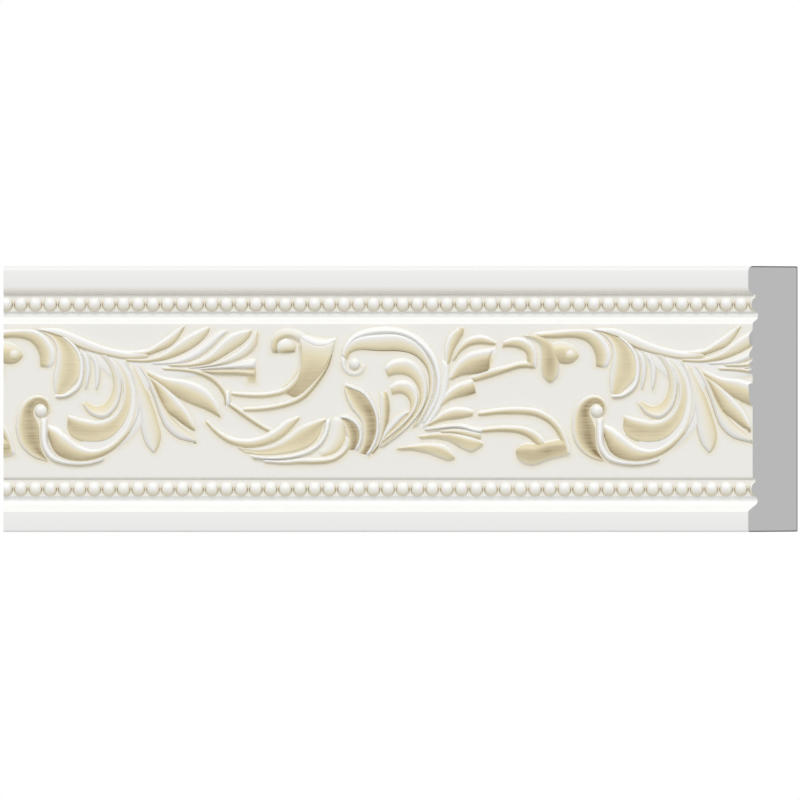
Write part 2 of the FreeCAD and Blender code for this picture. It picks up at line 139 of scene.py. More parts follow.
paper = bpy.data.materials.new("white_paper")
paper.use_nodes = True
paper.node_tree.nodes.clear()
paper_matt = add_node(paper.node_tree, "ShaderNodeBsdfDiffuse", {"Color": (FLOOR_SHADE,) * 3 + (1,)})
paper_white = add_node(paper.node_tree, "ShaderNodeEmission", {"Color": (1, 1, 1, 1), "Strength": 1.0})
paper_mix = add_node(paper.node_tree, "ShaderNodeMixShader",
                     {0: seen_directly(paper.node_tree), 1: paper_matt.outputs[0],
                      2: paper_white.outputs[0]})
add_node(paper.node_tree, "ShaderNodeOutputMaterial", {"Surface": paper_mix.outputs[0]})
floor.data.materials.append(paper)


# Stick: the plain moulding, extruded from rigid foamed polystyrene with its white coat on. From the top
# come a wide band, a pearl bed, a quirk, the field, the second pearl bed, a cove and a narrow band.
HALF_LENGTH = 142 * MM
HALF_WIDTH = 47.5
SAW_WASTE = 4 * MM
ROUNDING_STEPS = 6
COVE_STEPS = 8
COVE_MIDDLE_Y = -36.35
COVE_HALF_WIDTH = 1.55
COVE_RADIUS = 1.85
PEARL_BED = 15.4
FIELD = 16.4
FIELD_SQUARE = 1.0 * MM
FIELD_REACH = 30 * MM
LEVEL = 0.999                           # a face is level or upright from this share of its normal on
SAME_SURFACE = 0.01 * MM
CUT_MERGE = 0.001 * MM


def cove_corners():
    """The hollow beside the lower pearl bed, from the bed to the foot of the lower slope."""
    reach = asin(COVE_HALF_WIDTH / COVE_RADIUS)
    centre_z = PEARL_BED + COVE_RADIUS * cos(reach)
    turns = [reach - 2 * reach * step / COVE_STEPS for step in range(COVE_STEPS + 1)]
    return [(COVE_MIDDLE_Y + COVE_RADIUS * sin(turn), centre_z - COVE_RADIUS * cos(turn), 0)
            for turn in turns]


def cut_across(mesh, faces, point, normal):
    """Cuts faces along a plane, and returns what they are then made of."""
    edges = list(dict.fromkeys(edge for face in faces for edge in face.edges))
    corners = list(dict.fromkeys(vert for face in faces for vert in face.verts))
    cut = bmesh.ops.bisect_plane(mesh, geom=faces + edges + corners, dist=CUT_MERGE, plane_co=point,
                                 plane_no=normal)
    return [part for part in cut["geom"] if isinstance(part, bmesh.types.BMFace)]


# Each corner of the section: Y and Z in millimetres, and how far it is rounded.
section = [(-HALF_WIDTH, 0, 0.4), (HALF_WIDTH, 0, 0.4), (HALF_WIDTH, FACE, 1.8), (37.4, FACE, 2.5),
           (37.4, PEARL_BED, 0), (31.2, PEARL_BED, 0.15), (30.7, 14.5, 0), (28.9, 14.5, 0.3),
           (27.1, FIELD, 0.4), (-28.6, FIELD, 0.9), (-28.6, PEARL_BED, 0)]
section += cove_corners()
section += [(-40, FACE, 0.4), (-HALF_WIDTH, FACE, 0.8)]

stick = bmesh.new()
start_corners = [stick.verts.new((-HALF_LENGTH - SAW_WASTE, y * MM, z * MM)) for y, z, rounding in section]
start_face = stick.faces.new(start_corners)
pushed = bmesh.ops.extrude_face_region(stick, geom=[start_face])["geom"]
end_corners = [part for part in pushed if isinstance(part, bmesh.types.BMVert)]
bmesh.ops.translate(stick, verts=end_corners, vec=(2 * (HALF_LENGTH + SAW_WASTE), 0, 0))
for corner, (y, z, rounding) in zip(start_corners, section):
    if rounding:
        long_edge = [edge for edge in corner.link_edges if edge.other_vert(corner).co.x > 0]
        bmesh.ops.bevel(stick, geom=long_edge, offset=rounding * MM, offset_type="OFFSET", affect="EDGES",
                        segments=ROUNDING_STEPS, profile=0.5, material=-1)
bmesh.ops.recalc_face_normals(stick, faces=stick.faces[:])

# The field is cut into small squares, which carry the soft edge of the patina beside the leaves.
field = [face for face in stick.faces
         if face.normal.z > LEVEL and abs(face.calc_center_median().z - FIELD * MM) < SAME_SURFACE]
for axis, reach in ((0, HALF_LENGTH + SAW_WASTE), (1, FIELD_REACH)):
    across = Vector((axis == 0, axis == 1, 0))
    for step in range(1, round(2 * reach / FIELD_SQUARE)):
        field = cut_across(stick, field, across * (step * FIELD_SQUARE - reach), across)
moulding = bpy.data.objects.new("moulding", bpy.data.meshes.new("moulding"))
stick.to_mesh(moulding.data)
stick.free()
bpy.context.collection.objects.link(moulding)


# Pearls: two rows of round studs that the embossing roller raises from the beds. They are one with the
# stick, and the saw cuts the last of them at each end.
PEARL_PITCH = 5.25
PEARL_RADIUS = 2.5
PEARL_MIDDLE = 15.2
PEARL_RISE = 2.0
FIRST_PEARL_X = 126.625
PEARL_ROWS_Y = (33.75, -32.25)
PEARL_COUNT = 52
PEARL_SIDES = 16
PEARL_RINGS = 10
# The pearls' gold is patina all round, with more on the lower side as painted shade, and dark gold in the
# gaps that is partly patina and partly painted shade.
PEARL_GILDING_AND_SHADE = 0.38
PEARL_EVEN = 0.4                        # share of that gold that lies all round
PEARL_SHADE_LEAN = 0.6                        # share that gathers on the lower side
PEARL_GAP_PATINA_AND_SHADE = 1.3
PEARL_GAP_POWER = 8                     # keeps the dark gold to the gap between two pearls

relief = bpy.data.collections.new("relief")
bpy.context.scene.collection.children.link(relief)


def raise_relief(name, shape):
    """Keeps a closed shape to be joined to the stick."""
    bmesh.ops.triangulate(shape, faces=shape.faces[:])
    mesh = bpy.data.meshes.new(name)
    shape.to_mesh(mesh)
    shape.free()
    relief.objects.link(bpy.data.objects.new(name, mesh))


for row_y in PEARL_ROWS_Y:
    pearls = bmesh.new()
    patina_and_painted_light = pearls.verts.layers.float.new("patina_and_painted_light")
    for place in range(PEARL_COUNT):
        centre = Vector((FIRST_PEARL_X - place * PEARL_PITCH, row_y, PEARL_MIDDLE)) * MM
        size = Vector((PEARL_RADIUS, PEARL_RADIUS, PEARL_RISE, 1 / MM)) * MM
        stud = bmesh.ops.create_uvsphere(pearls, u_segments=PEARL_SIDES, v_segments=PEARL_RINGS, radius=1,
                                         matrix=Matrix.Translation(centre) @ Matrix.Diagonal(size))
        for vert in stud["verts"]:
            side = (vert.co - centre) / (PEARL_RADIUS * MM)
            # The top keeps no gold, so it is painted whiter than the coat as a painted highlight, and the
            # lower side, away from the light, gets painted shade.
            patina_and_low_shade = max(0, PEARL_EVEN - PEARL_SHADE_LEAN * side.y)
            vert[patina_and_painted_light] = PEARL_GILDING_AND_SHADE * patina_and_low_shade + PEARL_GAP_PATINA_AND_SHADE * abs(side.x) ** PEARL_GAP_POWER
    raise_relief("pearls", pearls)


# Leaf ornament: a running scroll of acanthus leaves that the roller embosses into the field. Each leaf is
# drawn by its two edges, and its surface runs between them, hollowed, folded or rounded over.
DRAWN_UNITS = 2.8                       # drawing units to the millimetre
DRAWN_CENTRE = Vector((401, 399))       # the middle of the stick on the drawing, whose Y runs down
REPEAT = 556                            # one turn of the roller, in drawing units
DRAWN_ENDS = (0, 756)                   # what the stick's two ends leave of the drawing
STATION_SPACING = 0.95 * MM
FEWEST_STATIONS = 10
LINE_STEPS = 9
EDGE_BAND = 0.95 * MM                   # width of the rounded shoulder along an edge
EDGE_LIMIT = 0.3                        # most of a narrow leaf's width that one band takes
SHOULDER_LIMIT = 0.45                   # most of a narrow leaf's width that one shoulder takes
EDGE_SHARE = 0.18                       # share of its height that a leaf keeps at its very edge
END_BAND = 1.3 * MM
END_LIMIT = 0.3
BOW_POWER = 3                           # keeps the bow of a root or tip to that end of the leaf
ROOT_DEPTH = 0.3 * MM
SKIRT = 0.6 * MM
FOOT_GILDING = 0.55
FOOT_EVEN = 0.55                        # share of that gold that lies all round a leaf
# The lower side's extra share is painted shadow under the leaf.
FOOT_SHADOW_LEAN = 0.45                        # share that moves to its lower side
EDGE_STEPS = (0, 0.15, 0.45, 1)
MIDDLE_STEPS = (0.25, 0.5, 0.75)

# Heights above the field in millimetres at the first edge, the middle and the second edge of a leaf,
# and how much of the gold patina stays on each of the three. Where the gold stays below the coat's own
# share, the surface is painted whiter than the coat as a painted highlight, as on ribs and on first edges,
# which mostly face the light; more gold on a lower edge is partly patina and partly painted shade.
HOLLOW = ((1.8, 0.6, 1.5), (0.0, 1.0, 0.5))
BELLY = ((1.8, 0.6, 1.5), (0.05, 1.0, 0.75))
FOLD = ((1.55, 1.4, 1.05), (-0.3, 0.8, 1.1))
BACKFOLD = ((0.7, 1.2, 1.8), (0.9, 0.7, 0.1))
CUPPED = ((1.4, 1.3, 1.1), (-0.3, 1.0, 0.2))
RIB = ((1.5, 1.9, 1.5), (0.0, 0.05, 0.3))
STEM = ((1.3, 1.5, 1.25), (-0.3, 0.5, 1.1))
GILT_RIB = ((0.9, 1.7, 0.9), (0.2, 0.8, 0.9))
GILT_KNOB = ((0.9, 1.6, 0.8), (0.35, 1.0, 0.2))
PETAL = ((0.8, 1.3, 0.8), (0.1, 0.2, 0.4))
GILT_SHEET = ((1.3, 1.0, 1.4), (0.7, 1.0, 0.9))
UNDERLAY = ((0.25, 0.5, 0.25), (0.25, 0.25, 0.25))


def smooth_line(points):
    """A smooth line through drawn points, as vectors in metres on the face."""
    knots = [Vector((x - DRAWN_CENTRE.x, DRAWN_CENTRE.y - y, 0)) * MM / DRAWN_UNITS for x, y in points]
    ends = [2 * knots[0] - knots[1]] + knots + [2 * knots[-1] - knots[-2]]
    line = [knots[0]]
    for before, start, end, after in zip(ends, ends[1:], ends[2:], ends[3:]):
        handles = start + (end - before) / 6, end - (after - start) / 6
        line += interpolate_bezier(start, *handles, end, LINE_STEPS)[1:]
    return line


def length_of(line):
    """The length of a line of vectors."""
    return sum((end - start).length for start, end in zip(line, line[1:]))


def picked(line, shares):
    """The points at rising shares of the length of a line."""
    length = length_of(line)
    points = []
    walked = 0
    for start, end in zip(line, line[1:]):
        step = (end - start).length
        while len(points) < len(shares) - 1 and walked + step >= length * shares[len(points)]:
            points.append(start.lerp(end, (length * shares[len(points)] - walked) / step))
        walked += step
    return points + [line[-1]]


def through(values, share):
    """The value at a share of the way along a parabola through three values at 0, a half and 1."""
    first, middle, last = values
    return (first * (1 - share) * (1 - 2 * share) + 4 * middle * share * (1 - share)
            + last * share * (2 * share - 1))


def eased(distance, band):
    """Rises from 0 to 1 over a band, as a rounded shoulder does."""
    return sin(radians(90) * min(1, max(0, distance / band)))


def share_across(ring, width):
    """Where a point of the ring lies across a leaf: close together at both edges, and spread between."""
    band = min(EDGE_BAND / width, EDGE_LIMIT)
    if ring < len(EDGE_STEPS):
        return band * EDGE_STEPS[ring]
    if ring < len(EDGE_STEPS) + len(MIDDLE_STEPS):
        return band + (1 - 2 * band) * MIDDLE_STEPS[ring - len(EDGE_STEPS)]
    return 1 - band * EDGE_STEPS[2 * len(EDGE_STEPS) + len(MIDDLE_STEPS) - 1 - ring]


def leaf(name, form, first_edge, second_edge, lift=(0.8, 1.0, 0.8), gilding=(0.6, 0.6, 0.6), root_sag=0,
         tip_hollow=0, foot=FOOT_GILDING):
    """Embosses a leaf between two drawn edges, from its root to its tip, wherever it repeats on the stick.

    lift and gilding are factors at the root, the middle and the tip, foot is the gold where the leaf meets
    the field, more of it on the lower side as painted shadow, and root_sag and tip_hollow bow the root and
    the tip, in drawing units.
    """
    heights, gilt_and_light = form
    first_line, second_line = smooth_line(first_edge), smooth_line(second_edge)
    length = (length_of(first_line) + length_of(second_line)) / 2
    stations = max(FEWEST_STATIONS, round(length / STATION_SPACING))
    shares = [0.5 - 0.5 * cos(radians(180) * station / stations) for station in range(stations + 1)]
    first_points, second_points = picked(first_line, shares), picked(second_line, shares)
    around = 2 * len(EDGE_STEPS) + len(MIDDLE_STEPS) + 2
    for turn in (-1, 0, 1):
        xs = [x + turn * REPEAT for x, y in first_edge + second_edge]
        if max(xs) < DRAWN_ENDS[0] or min(xs) > DRAWN_ENDS[1]:
            continue
        sheet = bmesh.new()
        patina_and_painted_light = sheet.verts.layers.float.new("patina_and_painted_light")
        bmesh.ops.create_grid(sheet, x_segments=stations, y_segments=around, size=0.5)
        for vert in sheet.verts:
            station = round((vert.co.x + 0.5) * stations)
            ring = round((vert.co.y + 0.5) * around) % around
            along = shares[station]
            start, end = first_points[station], second_points[station]
            width = (end - start).length
            outward = (start - end).normalized() * (1 if ring < around / 2 else -1)
            if ring in (0, around - 1):
                vert.co = (start if ring == 0 else end) + outward * SKIRT
                vert.co.z = FIELD * MM - ROOT_DEPTH
            else:
                share = share_across(ring - 1, width)
                shoulder = eased(min(share, 1 - share) * width, min(EDGE_BAND, SHOULDER_LIMIT * width))
                edge = EDGE_SHARE + (1 - EDGE_SHARE) * shoulder
                ends = eased(min(along, 1 - along) * length, min(END_BAND, END_LIMIT * length))
                vert.co = start.lerp(end, share)
                bow = 4 * share * (1 - share) * MM / DRAWN_UNITS
                vert.co.y -= root_sag * (1 - along) ** BOW_POWER * bow
                vert.co.x -= tip_hollow * along ** BOW_POWER * bow
                vert.co.z = (FIELD + through(heights, share) * through(lift, along) * edge * ends) * MM
                # Gold below nought stays at nought, which paints the edge towards the light whiter than the
                # coat: a painted highlight.
                vert[patina_and_painted_light] = max(0, through(gilt_and_light, share) * through(gilding, along))
            # At its foot a leaf gets gold all round, and more on its lower side as painted shadow.
            if ring in (0, 1, around - 2, around - 1) and form is not UNDERLAY:
                vert[patina_and_painted_light] = foot * (FOOT_EVEN - FOOT_SHADOW_LEAN * outward.y)
            vert.co.x += turn * REPEAT * MM / DRAWN_UNITS
        bmesh.ops.remove_doubles(sheet, verts=sheet.verts[:], dist=CUT_MERGE)
        bmesh.ops.holes_fill(sheet, edges=[edge for edge in sheet.edges if edge.is_boundary])
        bmesh.ops.recalc_face_normals(sheet, faces=sheet.faces[:])
        raise_relief(name, sheet)


def bead(name, centre, radius, rise, gilding=0.3):
    """Embosses the round eye of a scroll, wherever it repeats on the stick."""
    for turn in (-1, 0, 1):
        x = centre[0] + turn * REPEAT
        if x + radius < DRAWN_ENDS[0] or x - radius > DRAWN_ENDS[1]:
            continue
        eye = bmesh.new()
        patina_and_painted_light = eye.verts.layers.float.new("patina_and_painted_light")
        place = smooth_line([(x, centre[1]), (x, centre[1] + 1)])[0] + Vector((0, 0, FIELD * MM))
        reach = radius / DRAWN_UNITS
        size = Vector((reach, reach, rise, 1 / MM)) * MM
        bmesh.ops.create_uvsphere(eye, u_segments=PEARL_SIDES, v_segments=PEARL_RINGS, radius=1,
                                  matrix=Matrix.Translation(place) @ Matrix.Diagonal(size))
        for vert in eye.verts:
            # The gold runs from none at the top, painted whiter than the coat as a highlight, to most at the
            # bottom as painted shade.
            vert[patina_and_painted_light] = gilding * (0.5 - 0.5 * (vert.co.y - place.y) / (reach * MM))
        raise_relief(name, eye)


# Link hooks: the stem that starts a repeat forks into a hook, a hanging finger and a small curl with a
# bead in it. All are one with the field, as the roller raises them.
leaf("link_stem", FOLD,
     [(470, 377), (490, 369.5), (505, 366), (522, 361.5), (534, 362)],
     [(474, 382), (490, 377.5), (505, 372.5), (520, 368), (536, 368.5)])
leaf("reed_hook", FOLD,
     [(503, 341.5), (513, 338), (523, 338.5), (532, 343.5), (536.5, 354), (536.5, 368)],
     [(503, 347), (512, 347), (520, 349), (526, 353), (527, 360), (526, 367)])
leaf("hanging_finger", GILT_KNOB,
     [(521, 335.5), (531, 338), (539, 344), (541.5, 354), (541, 367), (542.5, 376), (547.5, 382)],
     [(535, 334), (547, 339), (555, 347), (559.5, 358), (559.5, 370), (557, 378), (551.5, 383)],
     gilding=(0.3, 0.8, 0.5), foot=0.3)
leaf("small_curl", GILT_RIB,
     [(550, 344), (561, 342.5), (570, 344.5), (576.5, 349), (579, 355)],
     [(550, 360), (559, 363), (567, 364), (574, 362), (579, 356.5)],
     lift=(0.8, 0.75, 0.4), gilding=(0.8, 0.75, 0.6))
bead("small_curl_eye", (570, 355), 6.4, 1.75, gilding=0.7)
leaf("hook_leaf", FOLD,
     [(-22, 333), (-2, 331), (18, 329.5), (36, 330.5), (47, 338), (54.5, 350), (54, 361), (50, 368)],
     [(-18, 338), (0, 338), (16, 337.5), (28, 340), (35.5, 346.5), (39.5, 356), (40, 367)])

# Main stem and broad leaf: the long stem under the upper edge of the field, the broad gouged leaf that
# hangs from its start, and two narrow leaves beside it.
leaf("main_stem", STEM,
     [(34, 329), (55, 328), (72, 333), (90, 341), (108, 347.5), (128, 351), (146, 349.5)],
     [(50, 332), (64, 338), (77, 346), (92, 352), (108, 356), (128, 359.5), (150, 358)],
     gilding=(0.35, 0.4, 0.45), foot=0.8)
leaf("broad_leaf", HOLLOW,
     [(41, 331), (51, 338), (56.5, 348), (56.5, 362), (54, 378), (55, 394)],
     [(47, 329), (62, 337), (74, 347), (80, 360), (79, 378), (62, 396)])
leaf("broad_leaf_rim", RIB,
     [(60, 336), (71, 346), (78, 358), (79, 373), (75.5, 385), (66, 393), (55, 395)],
     [(64, 335), (76, 345), (83, 358), (84, 374), (80, 388), (68, 396.5), (55, 398)])
leaf("first_hanging_leaf", PETAL,
     [(79, 349), (84, 360), (85.5, 372), (84.5, 389)],
     [(87, 352), (90.5, 362), (90.5, 374), (86.5, 390)])
leaf("second_hanging_leaf", PETAL,
     [(88, 352), (93, 362), (95, 374), (95, 389)],
     [(95, 354), (99.5, 364), (100.5, 377), (97, 391)])

# Nested hooks: three long leaves that sweep down from the stem and curl back to the left, one in the
# other. The outer ones are gouged, and gold wax stays in their hollows.
leaf("inner_hook", BACKFOLD,
     [(97, 353), (106, 363), (112, 376), (112.5, 389), (107, 401), (97, 406.5), (86, 402)],
     [(106, 354), (115, 364), (120.5, 378), (121, 393), (116, 408), (104, 418), (90, 414), (82, 403)],
     gilding=(0.3, 0.5, 0.6))
leaf("middle_hook", HOLLOW,
     [(108, 357), (118, 370), (123, 386), (122, 402), (113, 416), (98, 421.5), (82, 419), (68, 415.5)],
     [(114, 357), (125, 370), (131, 386), (131, 404), (124, 424), (108, 439.5), (88, 442), (73, 437),
      (67, 428)],
     gilding=(0.2, 0.55, 0.8))
leaf("outer_hook", FOLD,
     [(122, 359), (131, 375), (134.5, 392), (133, 410), (126, 428), (112, 443), (96, 449.5), (80, 446),
      (66, 435), (57, 428), (48, 425)],
     [(127, 360), (136, 376), (139, 394), (138, 412), (132, 430), (120, 444), (104, 455), (86, 460),
      (68, 459), (55, 452), (48, 437)],
     gilding=(0.3, 0.5, 0.8), foot=0.7)

# Volute: the rolled end of the scroll, with its round eye, and the raised stem that carries it. The belly
# is gouged and full of wax, and the stem keeps so little gold that it is painted whiter than the coat, a
# painted highlight.
leaf("volute", BELLY,
     [(49, 462), (34, 457), (22, 447), (16.5, 433), (17, 418), (22, 405), (31, 397.5), (41, 396),
      (48.5, 401), (50, 410), (46, 417)],
     [(45, 457), (41, 448), (39.5, 438), (39, 428), (36, 420), (33, 413.5), (34, 407), (38, 403.5),
      (43, 404), (45.5, 409), (43.5, 414)],
     gilding=(0.88, 0.9, 0.82))
bead("volute_eye", (41, 411), 6.4, 1.7)
leaf("volute_stem", RIB,
     [(41, 418), (40.5, 430), (41, 442), (44, 451), (50, 459), (60, 463), (75, 465), (90, 464),
      (104, 460)],
     [(47, 418), (47.5, 430), (47.5, 440), (50, 448), (56, 455.5), (65, 459.5), (78, 461.5),
      (92, 460.5), (106, 456.5)])

# Leaf bed: the low swelling of the field in which the hooks, the spear leaves and the fan have their
# common root.
leaf("leaf_bed", UNDERLAY,
     [(84, 349), (112, 354), (140, 357), (170, 362), (205, 366)],
     [(92, 362), (122, 384), (148, 388), (175, 380), (205, 374)])
leaf("hook_bed", UNDERLAY,
     [(110, 357), (122, 376), (125, 396), (118, 416), (100, 428), (80, 430)],
     [(130, 360), (146, 384), (146, 408), (138, 430), (112, 450), (84, 455)])

# Spear leaves: the pointed leaves below the stem, from the nested hooks to the large folded leaf. They are
# rounded over, and the wax lies round their feet, heaviest on the lower side as painted shadow.
leaf("tucked_leaf", PETAL,
     [(134, 386), (135, 404), (132, 420), (127, 434)],
     [(139, 388), (140, 404), (138, 418), (129, 435)])
leaf("first_spear", PETAL,
     [(127, 364), (133, 385), (137, 402), (140, 416), (141.5, 430), (146, 444), (153, 453)],
     [(134, 364), (143, 383), (151, 402), (157, 420), (160.5, 434), (159, 445), (154.5, 453)],
     gilding=(1.2, 1.3, 1.2), foot=1.1)
leaf("second_spear", PETAL,
     [(136, 364), (146, 380), (154, 398), (160, 416), (166, 428), (178, 438), (196, 442.5)],
     [(142, 364), (152, 379), (160, 398), (168, 412), (180, 425), (190, 433), (197, 441)],
     gilding=(1.0, 1.1, 1.0), foot=0.9)
leaf("folded_spear", FOLD,
     [(146, 374), (158, 381), (170, 391), (180, 401), (188, 411), (194, 423), (195.5, 430)],
     [(145, 377), (153, 385), (160, 398), (167, 411), (176, 418), (186, 426), (194.5, 431)],
     gilding=(0.7, 0.6, 0.7), foot=1.0)

# Right fan: leaves that leave the main stem one after the other and open to the upper right, each folded
# down towards its lower edge, and a trumpet between them.
leaf("fan_leaf_1", FOLD,
     [(128, 351), (146, 350), (158, 343), (170, 334.5), (180, 327.5), (184.5, 325)],
     [(128, 356), (146, 355), (160, 350.5), (170, 346), (178, 338), (185, 326)],
     gilding=(0.6, 0.45, 0.4), foot=0.85)
leaf("fan_leaf_2", FOLD,
     [(124, 358), (145, 358.5), (162, 353.5), (176, 343.5), (190, 334), (203, 328), (209, 327)],
     [(126, 362), (148, 362.5), (165, 359.5), (182, 353), (196, 345), (206, 335.5), (210, 328)],
     gilding=(0.6, 0.45, 0.4), foot=0.85)
leaf("fan_leaf_3", PETAL,
     [(150, 362), (175, 359), (192, 351), (206, 341), (216, 333), (226, 329.5)],
     [(152, 365), (178, 364), (196, 358.5), (210, 349), (220, 339), (228, 331)])
leaf("fan_leaf_4", FOLD,
     [(165, 364), (190, 362.5), (208, 355), (220, 343), (230, 334.5), (242, 330.5), (251, 329.5)],
     [(170, 367), (195, 366.5), (214, 361), (230, 351.5), (242, 343.5), (249, 336.5), (252, 330.5)],
     gilding=(0.6, 0.45, 0.4), foot=0.85)
leaf("fan_leaf_5", FOLD,
     [(185, 367), (212, 363.5), (230, 356), (243, 347), (251, 337), (256, 330.5)],
     [(190, 369), (214, 366), (235, 361), (249, 354), (257, 344), (258, 331.5)],
     gilding=(0.3, 0.3, 0.4))
leaf("trumpet_top", PETAL,
     [(196, 368.5), (214, 366), (232, 364), (246, 360.5), (256, 359.5)],
     [(198, 370.5), (214, 369), (232, 368.5), (246, 369), (256, 368.5)],
     lift=(0.7, 1.2, 1.4))
leaf("trumpet_pipe", GILT_RIB,
     [(200, 370), (216, 369.5), (234, 369), (248, 369.5), (256, 369)],
     [(200, 372), (216, 374), (234, 374.5), (246, 375.5), (256, 377)])
leaf("trumpet_lip", GILT_SHEET,
     [(246.5, 368), (247, 374), (247.5, 384)],
     [(256, 368), (256, 374), (256, 384)],
     lift=(0.9, 0.6, 0.1), gilding=(0.6, 0.7, 0.3))
leaf("side_stem", FOLD,
     [(160, 367), (185, 368), (203, 371), (215, 377), (224, 386.5), (228, 394), (229, 405)],
     [(162, 370.5), (185, 372), (202, 376), (213, 382.5), (220, 390), (224, 398), (225, 406)])
leaf("large_leaf", FOLD,
     [(146, 369), (165, 377), (185, 380), (201, 385.5), (212, 394.5), (218.5, 406), (221, 416)],
     [(146, 375), (158, 384), (172, 394), (188, 402.5), (203, 408.5), (214, 414), (220, 417.5)])

# Comma scroll: a broad leaf that rolls in at its top and runs out to the left in two thin tails, which a
# knot ties to the side stem.
leaf("comma_body", GILT_SHEET,
     [(296, 332), (299.5, 344), (300, 358), (297, 371), (289, 382), (278, 390)],
     [(335, 339), (333.5, 350), (329, 362), (322, 374.5), (311, 387), (297, 399)],
     lift=(1, 1.0, 0.1), root_sag=9, gilding=(0.2, 0.66, 0.9))
leaf("comma_upper_tail", FOLD,
     [(298.5, 343), (299.5, 358), (297.5, 371), (292, 380), (282, 388.5), (266, 392.5), (248, 393),
      (231, 392)],
     [(301, 343), (303, 360), (302, 374), (297, 385), (286, 393), (268, 397), (249, 397), (231, 395)],
     gilding=(0.7, 0.5, 0.4))
leaf("comma_lower_tail", FOLD,
     [(331, 352), (325, 367), (314, 381), (300, 395), (284, 402.5), (262, 406.5), (242, 408)],
     [(333, 352), (328, 368), (318, 384), (304, 399), (286, 406.5), (263, 410.5), (242, 411)],
     gilding=(0.9, 0.6, 0.4))
leaf("comma_brow", PETAL,
     [(297, 331), (306, 335.5), (317, 339.5), (327, 340), (336, 337.5)],
     [(299, 337), (305, 343), (316, 347.5), (327, 347), (336, 341)],
     gilding=(0.5, 0.4, 0.3), foot=0.3)
leaf("comma_curl", GILT_RIB,
     [(306, 334), (291, 329.5), (281, 330.5), (273, 336.5), (270.5, 345), (271.5, 353)],
     [(299, 343), (292, 338), (284.5, 338), (279.5, 341.5), (278, 346), (279.5, 353)],
     gilding=(0.3, 0.5, 0.9))
leaf("comma_eye", GILT_RIB,
     [(284, 338), (277.5, 342), (275.5, 347), (276, 353)],
     [(287, 338), (293.5, 342), (296, 347), (295, 352.5)],
     lift=(0.6, 0.95, 1.1), gilding=(0.05, 0.2, 0.9))
leaf("knot", RIB,
     [(224.5, 390), (225, 398), (225.5, 406)],
     [(230, 390), (230.5, 398), (230.5, 406)])
leaf("thin_stem", FOLD,
     [(229, 402), (242, 410), (256, 420), (271, 429)],
     [(228, 405.5), (240, 414.5), (254, 424), (268, 432.5)])

# Lower leaves: they lie along the foot of the field, below the comma scroll, with a white rim and a plain
# round leaf at their right end.
leaf("lower_leaf_1", FOLD,
     [(207, 420), (219, 431), (232, 437.5), (247, 439.5), (262, 436.5), (275, 429.5), (287, 420),
      (299, 416)],
     [(205, 422), (215, 433), (229, 443), (247, 447.5), (265, 445), (281, 438), (292, 428), (300, 418)],
     gilding=(0.5, 0.5, 0.5))
leaf("lower_leaf_2", HOLLOW,
     [(236, 447), (255, 449), (272, 446), (287, 437.5), (300, 427), (314, 421.5), (329, 418)],
     [(243, 452), (262, 454.5), (282, 453.5), (301, 449.5), (314, 442), (320.5, 431), (323, 421)],
     gilding=(0.45, 0.58, 0.75))
leaf("lower_rim", RIB,
     [(250, 455), (270, 456.5), (290, 454.5), (308, 449), (319, 440.5), (324, 430), (325.5, 419)],
     [(252, 458), (272, 459.5), (292, 458), (311, 452.5), (323, 443), (329, 431), (331, 418)])
leaf("bottom_stem", STEM,
     [(262, 459), (282, 460), (300, 458), (315, 458), (330, 457), (340, 451), (345, 444), (346, 436)],
     [(264, 462.5), (284, 464), (302, 463.5), (318, 463.5), (334, 461), (345, 454), (350, 446),
      (350.5, 437)],
     gilding=(0.1, 0.55, 0.4))
leaf("plain_leaf", PETAL,
     [(318, 452), (327, 444), (331, 432), (332, 421), (335, 416.5)],
     [(322, 457), (336, 452), (344, 442), (345, 430), (344, 418)],
     lift=(0.4, 0.6, 0.6), gilding=(1.4, 1.4, 0.8))

# Buds: two swelling buds below the upper hook, gouged and full of wax, with raised white rims and a
# stamen beside them.
leaf("left_bud", BELLY,
     [(347, 450), (347.5, 441), (346, 433), (343.5, 425), (340, 419)],
     [(356, 450), (359.5, 441), (359.5, 432), (355, 423), (344, 416)],
     gilding=(0.86, 0.87, 0.84))
leaf("left_bud_rim", RIB,
     [(354, 450), (358, 441), (358.5, 432), (354, 424), (346, 419), (339, 418.5)],
     [(358, 451), (362, 441), (362.5, 431), (358, 421.5), (348, 415.5), (339, 415.5)])
leaf("right_bud", BELLY,
     [(359, 453), (362.5, 443), (363, 430), (360.5, 419), (352, 409), (347, 399), (344, 388)],
     [(368, 455), (374.5, 443), (377.5, 430), (377, 416), (372, 403), (362, 391.5), (345, 384)],
     gilding=(0.86, 0.87, 0.55))
leaf("right_bud_rim", RIB,
     [(365.5, 454), (372, 443.5), (375.5, 431), (375, 417), (370, 404.5), (361, 393.5), (344.5, 386)],
     [(368.5, 456), (375.5, 444.5), (379, 431), (378.5, 415.5), (373, 401.5), (363, 390), (344.5, 383)])
leaf("stamen", FOLD,
     [(370, 453), (377.5, 442), (380.5, 429), (381, 414), (380.5, 402), (381, 392)],
     [(373, 454), (381.5, 443), (386.5, 430), (389.5, 415), (389.5, 402), (387, 392)],
     gilding=(0.8, 0.8, 0.6))

